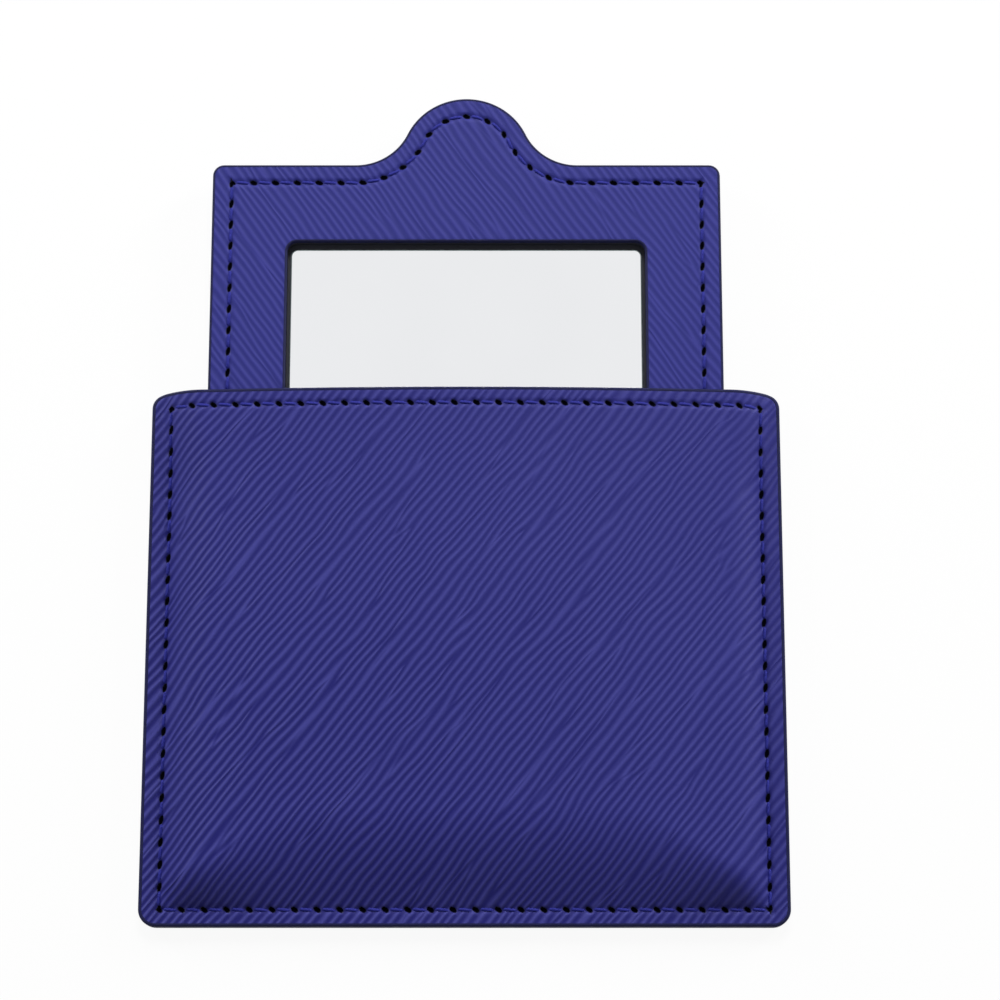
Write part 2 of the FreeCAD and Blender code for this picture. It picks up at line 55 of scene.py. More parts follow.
def span(node):
    """Lowest and highest corner of a node, in millimetres."""
    low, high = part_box(node)
    return low / MM, high / MM


def colour(red, green, blue):
    """A linear colour from screen values of 0 to 255."""
    return (*(((value / 255 + 0.055) / 1.055) ** 2.4 for value in (red, green, blue)), 1.0)


# Sizes that the boxes of the solids give
SLEEVE_X, SLEEVE_Y, CROWN_TOP = span("sleeve_front_leather")[1]
PANEL = span("sleeve_back_lining")[1].z
BACK_LEATHER = span("sleeve_back_leather")[1].z
INSERT_LOW, INSERT_HIGH = span("insert_front_leather")
INSERT_X = INSERT_HIGH.x
INSERT_BOTTOM = INSERT_LOW.y
FACE_TOP, FACE_UNDER = INSERT_HIGH.z, INSERT_LOW.z
BACK_LOW, BACK_HIGH = span("insert_back_leather")
GLASS_LOW, GLASS_HIGH = span("mirror_glass")

# Sizes of the solids that their boxes don't give
GLUE = 0.05
LEATHER, STIFFENER, LINING = 0.6, 0.25, 0.15
SLEEVE_CORNER, INSERT_CORNER, WINDOW_CORNER, GLASS_CORNER = 2.3, 1.5, 1.4, 1.0
INSERT_LENGTH = 60.0
SHOULDER_Y = INSERT_BOTTOM + INSERT_LENGTH
TAB_RADIUS, TAB_RISE, TAB_BLEND = 9.1, 0.7, 8.0
WINDOW_X, WINDOW_TOP, WINDOW_BOTTOM = 24.8, 11.2, 10.4
SIDE_MARGIN, END_MARGIN, INSERT_MARGIN = 2.7, 2.2, 2.6
STITCH_PITCH = 3.0
FLANGE_TOP = 2 * PANEL + GLUE
SEAM_X, SEAM_Y = SLEEVE_X - SIDE_MARGIN, SLEEVE_Y - END_MARGIN

# The raised pocket. It rises from a foot just inside the seams, over a run that is shorter near the
# bottom corners. At the mouth the foot moves out, past the seam. The crown fades towards the bottom.
SHOULDER_HEIGHT = 5.2
FOOT_INSET, FOOT_ROUND = 0.3, 0.3
SIDE_RUN, END_RUN = 6.0, 13.0
CORNER_RUN, CORNER_REACH = 4.5, 20.0
MOUTH_CORNER, MOUTH_FOOT_OUT, MOUTH_OPEN = 1.9, 1.3, 14.0
CROWN_START, CROWN_FADE = 5.0, 38.0

# Sheets: their rounded edge, the groove along a seam, and how far apart the points of the mesh are
EDGE_ROUND, EDGE_RINGS = 0.3, 5
GROOVE_DEPTH, GROOVE_HALF = 0.16, 0.42
OUTLINE_STEP, PANEL_STEP, FORMED_STEP, HIDDEN_STEP = 0.35, 0.5, 1.0, 0.8
BAND_STEP, BAND_HALF, BAND_DIGITS = 0.13, 1.05, 1
HIDDEN_INSET = 0.12
TOUCHING = 1e-6
SHARP_ANGLE, GLASS_SHARP_ANGLE = math.radians(50), math.radians(25)
SECOND_MATERIAL = 1

# Needle holes: each slit has a slant to its seam in degrees, a half length and a half width
ROW_SLIT, COLUMN_SLIT, TAB_SLIT = (-33, 0.58, 0.35), (-12, 0.7, 0.33), (-20, 0.6, 0.37)
PIT_DEPTH, PIT_POWER = 0.22, 1.5
# Painted shade in the needle holes: how deep a face must lie to take the near-black finish, and over
# which depths the leather is painted darker towards near black
HOLE_INSIDE, HOLE_SHADE_FADE = 0.4, (0.25, 0.6)

# Stitches: a twisted thread that sinks into the groove and dives at its ends
THREAD_RADIUS, THREAD_REST, THREAD_SHIFT = 0.24, 0.09, 0.11
THREAD_SINK, THREAD_DIVE, THREAD_DIVE_POWER = 0.19, 0.5, 4
THREAD_PLIES, THREAD_PLY_SHARE, THREAD_TWIST = 2, 0.12, 7.0
THREAD_SPAN_SHARE, THREAD_RINGS, THREAD_SIDES = 0.72, 13, 10

# Painted edges and the ground bevel of the glass
SLEEVE_WRAP, INSERT_WRAP = 0.42, 0.3
PAINT_PROUD, PAINT_FILM, PAINT_LIP = 0.05, 0.015, 0.1
BEVEL, BEVEL_DROP = 0.15, 0.12

# Leather: lines pressed in long cells that drift, deeper towards the lower left, with pores and patches
GRAIN_CELL, GRAIN_STRETCH, GRAIN_ORDER, GRAIN_FULL = 2.5, 6.0, 1.0, 0.05
# The tone share weighs the painted sheen and shade of the ridges against random patches of the leather's
# own tone
GRAIN_HEAD_ROOM, GRAIN_POWER, GRAIN_TONE_AND_SHADE_SHARE, GRAIN_POLISH = 1.3, 1.3, 0.85, 0.05
DEEPER_WAY = (-0.012, -0.012, 0.0)
DRIFT_SCALE, DRIFT_DETAIL, DRIFT_REACH = 0.07, 2.5, 1.4
NOISE_MIDDLE = (0.5, 0.5, 0.5)
PORE_SCALE, PORE_DETAIL, PORE_SHARE = 5.0, 3.0, 0.17
PATCH_SCALE, PATCH_DETAIL = 0.05, 2.0
LEATHER_ROUGH, LEATHER_SPECULAR = 0.55, 0.14


class Grain(NamedTuple):
    """Pressed lines: direction in degrees, spacing, depth, how uneven the depth is, and two tones, each
    partly the grain's own tone and partly painted: sheen on the ridges, shade in the valleys.
    """

    angle: float
    pitch: float
    depth: float
    uneven: float
    ridge_tone_and_sheen: tuple
    valley_tone_and_shade: tuple


# The ridge tone carries painted sheen and the valley tone painted shade, on top of the leather's own
# grain tone
SLEEVE_GRAIN = Grain(141, 1.04, 0.125, 0.5, ridge_tone_and_sheen=colour(62, 63, 138), valley_tone_and_shade=colour(20, 20, 95))
INSERT_GRAIN = Grain(36, 0.98, 0.05, 0.0, ridge_tone_and_sheen=colour(53, 54, 133), valley_tone_and_shade=colour(34, 37, 108))


class Finish(NamedTuple):
    """A pattern of a scale and detail, and the colours, roughness and relief that follow it."""

    scale: float
    detail: float
    dark: tuple
    light: tuple
    rough: tuple
    relief: float = 0.0
    specular: float = 0.5
    metallic: float = 0.0
    harsh: float = 0.5


# Painted shade: the near black painted into the needle holes, and their near-black finish with no shine
HOLE_SHADE = colour(2, 2, 6)
FINISHES = {
    "needle_hole_shade": Finish(4.0, 3.0, HOLE_SHADE, colour(5, 5, 16), (0.94, 0.96),
                          relief=0.03, specular=0.0),
    "edge_paint": Finish(0.9, 3.0, colour(15, 17, 48), colour(27, 29, 72), (0.357, 0.714),
                         relief=0.05, specular=0.12),
    "thread": Finish(9.0, 3.0, colour(30, 33, 112), colour(46, 49, 140), (0.484, 0.806),
                     relief=0.03, specular=0.12),
    "mirror": Finish(0.06, 2.0, colour(232, 233, 235), colour(236, 237, 239), (0.0, 0.02),
                     metallic=1.0),
    "ground_glass": Finish(4.0, 4.0, colour(70, 84, 84), colour(120, 132, 132), (0.2, 0.7),
                           relief=0.02),
    "board": Finish(2.5, 5.0, colour(18, 19, 28), colour(44, 46, 60), (0.517, 0.862),
                    relief=0.04, harsh=0.7),
    "tape": Finish(1.5, 3.0, colour(196, 194, 184), colour(226, 224, 216), (0.25, 0.667),
                   relief=0.03),
}
WEAVE = Finish(1.2, 1.0, colour(16, 17, 36), colour(40, 42, 72), (0.588, 0.882), relief=0.06)
WEAVE_SWAY = 0.4

# Floor, light and camera. A lamp has a name, a place and a size in metres, and a power in watts.
WHITE = (1.0, 1.0, 1.0, 1.0)
FLOOR_COLOUR, FLOOR_ROUGH = (0.86, 0.86, 0.86, 1.0), 0.9
FLOOR_HALF, FLOOR_GAP, FLOOR_GLOW_SHARE = 6.0, 0.02, 0.93
WORLD_LIGHT = 0.24
LIGHT_AIM = (0, 0.02, 0)
LAMPS = (("key", (0.04, 0.62, 0.64), 0.35, 5.8),
         ("left", (-0.75, 0.6, 0.28), 0.3, 4.6),
         ("right", (0.75, 0.6, 0.28), 0.3, 6.5))
SENSOR, IMAGE_SIZE, FOCAL_PIXELS = 36, 1000, 2773
CAMERA_LEAN, CAMERA_DISTANCE = 13, 380
CAMERA_AIM = (4.68, 21.9)


def line(start, end):
    """A straight piece of an outline."""
    return "line", np.array(start, float), np.array(end, float)


def arc(centre, radius, first, last):
    """A round piece of an outline, between two angles in degrees."""
    return "arc", np.array(centre, float), radius, math.radians(first), math.radians(last)


def sample(pieces, step, closed=True):
    """Points along lines and arcs, with the direction to the right of travel at each."""
    points, sides = [], []
    for number, (kind, *shape) in enumerate(pieces):
        last_point = not closed and number == len(pieces) - 1
        if kind == "line":
            start, end = shape
            length = np.hypot(*(end - start))
        else:
            centre, radius, first, last = shape
            length = radius * abs(last - first)
        count = max(1, math.ceil(length / step))
        share = np.arange(count + last_point)[:, None] / count
        if kind == "line":
            heading = (end - start) / length
            points.append(start + share * (end - start))
            sides.append(np.tile([heading[1], -heading[0]], (len(share), 1)))
        else:
            angle = first + share * (last - first)
            ray = np.hstack([np.cos(angle), np.sin(angle)])
            points.append(centre + radius * ray)
            sides.append(ray * np.sign(last - first))
    return np.vstack(points), np.vstack(sides)


def rounded_rectangle(x, low, high, corner, top):
    """Anticlockwise, about the Y axis, with a corner radius below and one at the top."""
    foot_x, foot_y = x - corner, low + corner
    head_x, head_y = x - top, high - top
    return [
        line((-foot_x, low), (foot_x, low)), arc((foot_x, foot_y), corner, -90, 0),
        line((x, foot_y), (x, head_y)), arc((head_x, head_y), top, 0, 90),
        line((head_x, high), (-head_x, high)), arc((-head_x, head_y), top, 90, 180),
        line((-x, head_y), (-x, foot_y)), arc((-foot_x, foot_y), corner, 180, 270),
    ]


def reverse(pieces):
    """The same outline the other way round, for a window."""
    turned = []
    for kind, *shape in reversed(pieces):
        if kind == "line":
            turned.append((kind, shape[1], shape[0]))
        else:
            turned.append((kind, shape[0], shape[1], shape[3], shape[2]))
    return turned


def tab_pieces(inset, corner):
    """From the right shoulder over the tab to the left shoulder."""
    side, high = INSERT_X - inset - corner, SHOULDER_Y - inset
    drop = TAB_BLEND - TAB_RISE
    blend_x = math.sqrt((TAB_RADIUS + TAB_BLEND) ** 2 - drop ** 2)
    meeting = math.degrees(math.atan2(drop, blend_x))
    blend_y, blend = SHOULDER_Y + TAB_BLEND, TAB_BLEND + inset
    return [
        line((side, high), (blend_x, high)),
        arc((blend_x, blend_y), blend, 270, 180 + meeting),
        arc((0, SHOULDER_Y + TAB_RISE), TAB_RADIUS - inset, meeting, 180 - meeting),
        arc((-blend_x, blend_y), blend, -meeting, -90),
        line((-blend_x, high), (-side, high)),
    ]


def insert_outline():
    """The insert with its tab: a plain outline whose top edge gives way to the tab."""
    plain = rounded_rectangle(INSERT_X, INSERT_BOTTOM, SHOULDER_Y, INSERT_CORNER, INSERT_CORNER)
    return plain[:4] + tab_pieces(0, INSERT_CORNER) + plain[5:]


SLEEVE_OUTLINE = rounded_rectangle(SLEEVE_X, -SLEEVE_Y, SLEEVE_Y, SLEEVE_CORNER, MOUTH_CORNER)
INSERT_OUTLINE = insert_outline()
WINDOW_OUTLINE = reverse(rounded_rectangle(
    WINDOW_X, INSERT_BOTTOM + WINDOW_BOTTOM, SHOULDER_Y - WINDOW_TOP, WINDOW_CORNER, WINDOW_CORNER))


class Seam:
    """One run of a seam with evenly spaced needle holes, each a slit at a slant to the run."""

    def __init__(self, pieces, slit):
        self.points, self.sides = sample(pieces, BAND_STEP, closed=False)
        self.ahead = np.stack([-self.sides[:, 1], self.sides[:, 0]], axis=1)
        steps = np.hypot(*np.diff(self.points, axis=0).T)
        self.along = np.concatenate([[0], np.cumsum(steps)])
        self.count = round(self.along[-1] / STITCH_PITCH)
        self.pitch = self.along[-1] / self.count
        slant, self.long, self.wide = slit
        self.slant = math.radians(slant)

    def at(self, along, aside):
        """Points at distances along the run and to its right, and the direction to the right."""
        mid = np.stack([np.interp(along, self.along, axis) for axis in self.points.T], axis=1)
        side = np.stack([np.interp(along, self.along, axis) for axis in self.sides.T], axis=1)
        return mid + side * aside[:, None], side

    def pit(self, along, aside):
        """How far inside a needle hole a point lies, from 0 to 1."""
        offset = along - np.round(along / self.pitch) * self.pitch
        long = offset * math.cos(self.slant) - aside * math.sin(self.slant)
        wide = offset * math.sin(self.slant) + aside * math.cos(self.slant)
        return np.exp(-((long / self.long) ** 2 + (wide / self.wide) ** 2) ** PIT_POWER)


def sleeve_seams():
    """The seam round three sides, run by run, and the row along the mouth."""
    x, y = SEAM_X, SEAM_Y
    left = Seam([line((-x, y), (-x, -y))], COLUMN_SLIT)
    bottom = Seam([line((-x, -y), (x, -y))], ROW_SLIT)
    right = Seam([line((x, -y), (x, y))], COLUMN_SLIT)
    mouth = Seam([line((-x, y), (x, y))], ROW_SLIT)
    return [left, bottom, right], [mouth]


def insert_seams():
    """The seam round the insert, run by run, from the top over the tab."""
    x = INSERT_X - INSERT_MARGIN
    low, high = INSERT_BOTTOM + INSERT_MARGIN, SHOULDER_Y - INSERT_MARGIN
    return [
        Seam(tab_pieces(INSERT_MARGIN, 0), TAB_SLIT),
        Seam([line((-x, high), (-x, low))], COLUMN_SLIT),
        Seam([line((-x, low), (x, low))], ROW_SLIT),
        Seam([line((x, low), (x, high))], COLUMN_SLIT),
    ]


def ease(share):
    """From 0 to 1 with a level start and end."""
    share = np.clip(share, 0, 1)
    return share * share * (3 - 2 * share)


def swell(share):
    """A rise that starts steep at 0 and levels off at 1."""
    return 1 - (1 - np.minimum(share, 1)) ** 2


def front_height(x, y):
    """Height of the front leather: a crowned pocket that rises from the seam and opens at the mouth."""
    opened = ease((y - SLEEVE_Y + MOUTH_OPEN) / MOUTH_OPEN)
    foot = SEAM_X - FOOT_INSET + (FOOT_INSET + MOUTH_FOOT_OUT) * opened
    inward = foot - np.abs(x)
    side = swell(inward / SIDE_RUN)
    end_run = CORNER_RUN + (END_RUN - CORNER_RUN) * ease(inward / CORNER_REACH)
    end = swell((y + SEAM_Y - FOOT_INSET) / end_run)
    fade = 1 - np.clip((CROWN_START - y) / CROWN_FADE, 0, 1) ** 2
    crown = (CROWN_TOP - SHOULDER_HEIGHT) * (1 - np.minimum(np.abs(x) / INSERT_X, 1) ** 2) * fade
    rise = np.where((side > 0) & (end > 0), side * end, np.minimum(side, end))
    raised = (SHOULDER_HEIGHT - FLANGE_TOP + crown) * rise
    share = np.clip(0.5 + raised / (2 * FOOT_ROUND), 0, 1)
    return FLANGE_TOP + raised * share + FOOT_ROUND * share * (1 - share)


def level(height):
    """A flat surface at one height."""
    return lambda x, y: np.full_like(x, height)


def lowered(height, depth):
    """A surface that lies a depth under another."""
    return lambda x, y: height(x, y) - depth


class Shell:
    """Points and faces of a mesh in the making, in millimetres."""

    def __init__(self):
        self.points, self.faces, self.size = [], [], 0

    def add(self, flat, height):
        """New points from their places and heights; returns their numbers."""
        self.points.append(np.column_stack([flat, np.broadcast_to(height, len(flat))]))
        self.size += len(flat)
        return np.arange(self.size - len(flat), self.size)

    def strip(self, one, two, closed=True):
        """Quads between two rows of points."""
        if closed:
            one, two = np.append(one, one[0]), np.append(two, two[0])
        self.faces += np.column_stack([one[:-1], one[1:], two[1:], two[:-1]]).tolist()

    def fill(self, loops, inner):
        """Triangles between outline loops, over inner points. The first loop is the outermost."""
        numbers = np.concatenate([*loops, inner])
        flat = np.vstack(self.points)[numbers, :2]
        edges, holes, start = [], [], 0
        for loop in loops:
            ring = np.arange(start, start + len(loop))
            edges += np.column_stack([ring, np.roll(ring, -1)]).tolist()
            holes.append((start, start + len(loop)))
            start += len(loop)
        found = delaunay_2d_cdt([Vector(place) for place in flat], edges, [], 1, TOUCHING)
        first = np.array([origin[0] for origin in found[3]])
        triangles = first[np.array(found[2])]
        for low, high in holes[1:]:
            triangles = triangles[~((triangles >= low) & (triangles < high)).all(axis=1)]
        self.faces += numbers[triangles].tolist()

    def build(self, name, *materials, sharp=SHARP_ANGLE):
        """The finished piece, with outward faces and smooth shading."""
        mesh = bpy.data.meshes.new(name)
        mesh.from_pydata((np.vstack(self.points) * MM).tolist(), [], self.faces)
        work = bmesh.new()
        work.from_mesh(mesh)
        bmesh.ops.recalc_face_normals(work, faces=work.faces)
        work.to_mesh(mesh)
        work.free()
        mesh.shade_smooth()
        mesh.set_sharp_from_angle(angle=sharp)
        for material in materials:
            mesh.materials.append(material)
        piece = bpy.data.objects.new(name, mesh)
        bpy.context.scene.collection.objects.link(piece)
        return piece


def nearest(points, targets):
    """Number of the nearest target to each point, and its distance."""
    tree = KDTree(len(targets))
    for number, target in enumerate(targets):
        tree.insert((*target, 0), number)
    tree.balance()
    found = [tree.find((*point, 0)) for point in points]
    return np.array([hit[1] for hit in found], int), np.array([hit[2] for hit in found])


def seam_relief(points, seams):
    """How far the seams sink the leather at each point, and how deep in a needle hole it lies."""
    sink, hole = np.zeros(len(points)), np.zeros(len(points))
    if not seams:
        return sink, hole
    owner = np.concatenate([np.full(len(seam.points), number) for number, seam in enumerate(seams)])
    place = np.concatenate([np.arange(len(seam.points)) for seam in seams])
    index, distance = nearest(points, np.vstack([seam.points for seam in seams]))
    for number, seam in enumerate(seams):
        near = (owner[index] == number) & (distance < BAND_HALF)
        spot = place[index[near]]
        offset = points[near] - seam.points[spot]
        along = seam.along[spot] + (offset * seam.ahead[spot]).sum(axis=1)
        aside = (offset * seam.sides[spot]).sum(axis=1)
        past = along - np.clip(along, 0, seam.along[-1])
        hole[near] = seam.pit(along, aside)
        sink[near] = GROOVE_DEPTH * np.exp(-(np.hypot(aside, past) / GROOVE_HALF) ** 2)
        sink[near] += PIT_DEPTH * hole[near]
    return sink, hole


def inner_points(outlines, inset, seams, step):
    """Even points inside the outlines, closer together along the seams."""
    loops = [sample(pieces, OUTLINE_STEP) for pieces in outlines]
    edge, side = (np.vstack(part) for part in zip(*loops))
    low, high = edge.min(axis=0), edge.max(axis=0)
    grid = np.meshgrid(np.arange(low[0], high[0], step), np.arange(low[1], high[1], step))
    points = np.column_stack([axis.ravel() for axis in grid])
    if seams:
        lines = np.vstack([seam.points for seam in seams])
        points = points[nearest(points, lines)[1] > BAND_HALF + BAND_STEP]
        rows = np.arange(-BAND_HALF, BAND_HALF + BAND_STEP, BAND_STEP)
        bands = np.vstack([seam.points + seam.sides * row for seam in seams for row in rows])
        cells = np.unique(np.round(bands / BAND_STEP, BAND_DIGITS), axis=0, return_index=True)[1]
        points = np.vstack([points, bands[np.sort(cells)]])
    index = nearest(points, edge)[0]
    depth = -((points - edge[index]) * side[index]).sum(axis=1)
    return points[depth > inset + OUTLINE_STEP / 2]


def panel(name, outlines, height, thickness, materials, facing=1, seams=(), step=PANEL_STEP, inset=0.0):
    """A sheet with a rounded edge, whose outer face follows a height and is drawn in by seams.

    The faces deep inside needle holes take the second material, a near-black painted shade.
    """
    shell, holes = Shell(), []
    loops = [sample(pieces, OUTLINE_STEP) for pieces in outlines]
    turns = np.linspace(0, math.pi / 2, EDGE_RINGS)

    def lay(flat, drop):
        return shell.add(flat, height(*flat.T) - facing * drop)

    def face(flat):
        sink, hole = seam_relief(flat, seams)
        holes.append(hole)
        return lay(flat, sink)

    rims = []
    for points, sides in loops:
        rims.append(face(points - sides * (inset + EDGE_ROUND)))
    shell.fill(rims, face(inner_points(outlines, inset + EDGE_ROUND, seams, step)))
    floors = []
    for (points, sides), rim in zip(loops, rims):
        last = rim
        for turn in turns[1:]:
            offset = inset + EDGE_ROUND * (1 - math.sin(turn))
            ring = lay(points - sides * offset, min(EDGE_ROUND, thickness / 2) * (1 - math.cos(turn)))
            shell.strip(last, ring)
            last = ring
        floor = lay(points - sides * inset, thickness)
        shell.strip(last, floor)
        floors.append(floor)
    shell.fill(floors, lay(inner_points(outlines, inset, (), HIDDEN_STEP), thickness))
    piece = shell.build(name, *materials)
    inside = np.zeros(shell.size, np.float32)
    outer = np.concatenate(holes)
    inside[:len(outer)] = outer
    # Each point keeps how deep in a needle hole it lies, for the painted shade in the holes
    piece.data.attributes.new("needle_hole_shade", "FLOAT", "POINT").data.foreach_set("value", inside)
    if seams:
        for polygon in piece.data.polygons:
            if inside[list(polygon.vertices)].min() > HOLE_INSIDE:
                polygon.material_index = SECOND_MATERIAL
    return piece


def paint_bead(name, pieces, top, bottom, wrap, material, closed=True):
    """The painted edge of a stack of leather: a rounded bead that wraps onto both faces."""
    path, out = sample(pieces, OUTLINE_STEP, closed)
    upper = [(-wrap, -PAINT_LIP), (-wrap, PAINT_FILM), (-wrap / 2, 2 * PAINT_FILM)]
    corner = EDGE_ROUND + PAINT_PROUD
    for turn in np.linspace(0, math.pi / 2, EDGE_RINGS):
        reach = PAINT_PROUD - corner * (1 - math.sin(turn))
        upper.append((reach, 2 * PAINT_FILM - corner * (1 - math.cos(turn))))
    shell, rows = Shell(), []
    for reach, lift in upper:
        flat = path + out * reach
        rows.append(shell.add(flat, top(*flat.T) + lift))
    for reach, lift in reversed(upper):
        flat = path + out * reach
        rows.append(shell.add(flat, bottom(*flat.T) + max(-lift, 0)))
    for one, two in zip(rows, rows[1:] + rows[:1]):
        shell.strip(one, two, closed)
    if not closed:
        shell.faces.append([int(row[0]) for row in rows])
        shell.faces.append([int(row[-1]) for row in rows])
    return shell.build(name, material)


def thread(name, seams, height, material, facing=1):
    """Two-ply stitches that lie in the groove and dive into the needle holes."""
    shell = Shell()
    share = np.linspace(-1, 1, THREAD_RINGS)
    around = np.linspace(0, 2 * math.pi, THREAD_SIDES, endpoint=False)
    for seam in seams:
        for number in range(seam.count):
            along = (number + 0.5 + share * THREAD_SPAN_SHARE / 2) * seam.pitch
            rings = []
            for place, turn in zip(along, share):
                mid, side = seam.at(np.array([place]), np.array([THREAD_SHIFT * turn]))
                sink = THREAD_SINK + THREAD_DIVE * abs(turn) ** THREAD_DIVE_POWER
                bulge = np.cos(THREAD_PLIES * (around - THREAD_TWIST * turn))
                ply = THREAD_RADIUS * (1 + THREAD_PLY_SHARE * bulge)
                flat = mid + side * (ply * np.cos(around))[:, None]
                base = height(*mid.T)[0] - facing * sink
                rings.append(shell.add(flat, base + ply * np.sin(around)))
            for one, two in zip(rings, rings[1:]):
                shell.strip(one, two)
            shell.faces += [rings[0].tolist(), rings[-1].tolist()]
    return shell.build(name, material)


def glass(mirror, ground):
    """The mirror: a silvered face with a ground bevel all round."""
    outline = rounded_rectangle(GLASS_HIGH.x, GLASS_LOW.y, GLASS_HIGH.y, GLASS_CORNER, GLASS_CORNER)
    points, sides = sample(outline, OUTLINE_STEP)
    shell = Shell()
    face = shell.add(points - sides * BEVEL, GLASS_HIGH.z)
    edge = shell.add(points, GLASS_HIGH.z - BEVEL_DROP)
    foot = shell.add(points, GLASS_LOW.z)
    shell.faces.append(face.tolist())
    shell.strip(face, edge)
    shell.strip(edge, foot)
    shell.faces.append(foot.tolist())
    piece = shell.build("mirror", ground, mirror, sharp=GLASS_SHARP_ANGLE)
    piece.data.polygons[0].material_index = SECOND_MATERIAL
    return piece


class Graph:
    """Short calls for the nodes of a material or of the world."""

    def __init__(self, owner):
        owner.use_nodes = True
        self.owner = owner
        self.tree = owner.node_tree

    def put(self, socket, value):
        """Set a socket's value, or link another node's output to it."""
        if isinstance(value, bpy.types.NodeSocket):
            self.tree.links.new(value, socket)
        else:
            socket.default_value = value

    def add(self, kind, values, **settings):
        """A node with its input values or links, by socket name or number."""
        node = self.tree.nodes.new(kind)
        for setting, value in settings.items():
            setattr(node, setting, value)
        for socket, value in values.items():
            self.put(node.inputs[socket], value)
        return node

    def shade(self, **values):
        """Set or link sockets of the material's shader."""
        shader = self.tree.nodes["Principled BSDF"]
        for socket, value in values.items():
            self.put(shader.inputs[socket.replace("_", " ")], value)

    def math(self, operation, *values):
        return self.add("ShaderNodeMath", dict(enumerate(values)), operation=operation).outputs[0]

    def vector(self, operation, values, output=0):
        return self.add("ShaderNodeVectorMath", values, operation=operation).outputs[output]

    def millimetres(self):
        """The place on the object, in millimetres."""
        place = self.add("ShaderNodeTexCoord", {}).outputs["Object"]
        return self.vector("SCALE", {0: place, "Scale": 1 / MM})

    def noise(self, place, scale, detail, harsh=0.5, output="Fac"):
        values = {"Vector": place, "Scale": scale, "Detail": detail, "Roughness": harsh}
        return self.add("ShaderNodeTexNoise", values).outputs[output]

    def blend(self, share, one, two):
        """A colour between two, by a share."""
        return self.add("ShaderNodeMix", {0: share, 6: one, 7: two}, data_type="RGBA").outputs[2]

    def remap(self, value, start, end, low=0.0, high=1.0):
        """A value between start and end, spread over low to high."""
        values = {"Value": value, "From Min": start, "From Max": end, "To Min": low, "To Max": high}
        return self.add("ShaderNodeMapRange", values).outputs[0]

    def bump(self, height, depth):
        """Relief of a depth in millimetres."""
        return self.add("ShaderNodeBump", {"Height": height, "Distance": depth * MM}).outputs[0]

    def follow(self, pattern, look):
        """Colours, roughness and relief that follow a pattern of 0 to 1."""
        self.shade(Base_Color=self.blend(pattern, look.dark, look.light))
        self.shade(Roughness=self.remap(pattern, 0.0, 1.0, *look.rough))
        self.shade(Specular_IOR_Level=look.specular, Metallic=look.metallic)
        if look.relief:
            self.shade(Normal=self.bump(pattern, look.relief))

    def seen(self):
        """1 for what the camera, reflections and clear bodies show, and 0 for light on the object."""
        path = self.add("ShaderNodeLightPath", {}).outputs
        shown = self.math("MAXIMUM", path["Is Camera Ray"], path["Is Glossy Ray"])
        return self.math("MAXIMUM", shown, path["Is Transmission Ray"])


def new_material(name):
    return Graph(bpy.data.materials.new(name))


def grained_leather(name, grain):
    """Leather with wavy pressed lines that fork and fine pores; the ridges carry painted sheen, the
    valleys painted shade, and the leather is painted near black into the needle holes as painted shade.
    """
    graph = new_material(name)
    place = graph.millimetres()
    drift = graph.noise(place, DRIFT_SCALE, DRIFT_DETAIL, output="Color")
    drift = graph.vector("SUBTRACT", {0: drift, 1: NOISE_MIDDLE})
    drift = graph.vector("SCALE", {0: drift, "Scale": DRIFT_REACH})
    bent = graph.vector("ADD", {0: place, 1: drift})
    turn = {"Vector": bent, "Rotation": (0, 0, math.radians(grain.angle)), "Scale": (1, GRAIN_STRETCH, 1)}
    across = graph.add("ShaderNodeMapping", turn, vector_type="TEXTURE").outputs[0]
    cells = {"Vector": across, "Scale": 1 / GRAIN_CELL, "Frequency": GRAIN_CELL / grain.pitch,
             "Orientation": 0, "Anisotropy": GRAIN_ORDER}
    lines = graph.add("ShaderNodeTexGabor", cells).outputs
    wave = graph.math("COSINE", graph.math("MULTIPLY", lines["Phase"], 2 * math.pi))
    wave = graph.math("MULTIPLY", wave, graph.remap(lines["Intensity"], 0.0, GRAIN_FULL))
    deeper = graph.vector("DOT_PRODUCT", {0: place, 1: DEEPER_WAY}, output="Value")
    wave = graph.math("MULTIPLY", wave, graph.math("MULTIPLY_ADD", deeper, grain.uneven, 1.0))
    ridges = graph.math("POWER", graph.remap(wave, -GRAIN_HEAD_ROOM, GRAIN_HEAD_ROOM), GRAIN_POWER)
    pores = graph.noise(place, PORE_SCALE, PORE_DETAIL)
    patches = graph.noise(place, PATCH_SCALE, PATCH_DETAIL)
    hole = graph.add("ShaderNodeAttribute", {}, attribute_name="needle_hole_shade").outputs["Fac"]

    # Painted sheen and shade: the tone follows the ridges, lighter on them and darker in the valleys,
    # mixed with random patches of the leather's own tone
    tone_and_shade = graph.math("ADD", graph.math("MULTIPLY", ridges, GRAIN_TONE_AND_SHADE_SHARE),
                      graph.math("MULTIPLY", patches, 1 - GRAIN_TONE_AND_SHADE_SHARE))
    body = graph.blend(tone_and_shade, grain.valley_tone_and_shade, grain.ridge_tone_and_sheen)
    # Painted shade: the leather turns near black deep in the needle holes
    graph.shade(Base_Color=graph.blend(graph.remap(hole, *HOLE_SHADE_FADE), body, HOLE_SHADE))
    rough = graph.math("ADD", LEATHER_ROUGH, graph.math("MULTIPLY", ridges, -GRAIN_POLISH))
    graph.shade(Roughness=rough, Specular_IOR_Level=LEATHER_SPECULAR)
    relief = graph.math("ADD", ridges, graph.math("MULTIPLY", pores, PORE_SHARE))
    graph.shade(Normal=graph.bump(relief, grain.depth))
    return graph.owner


def plain_finish(name, look):
    """A finish whose pattern is one noise."""
    graph = new_material(name)
    graph.follow(graph.noise(graph.millimetres(), look.scale, look.detail, look.harsh), look)
    return graph.owner


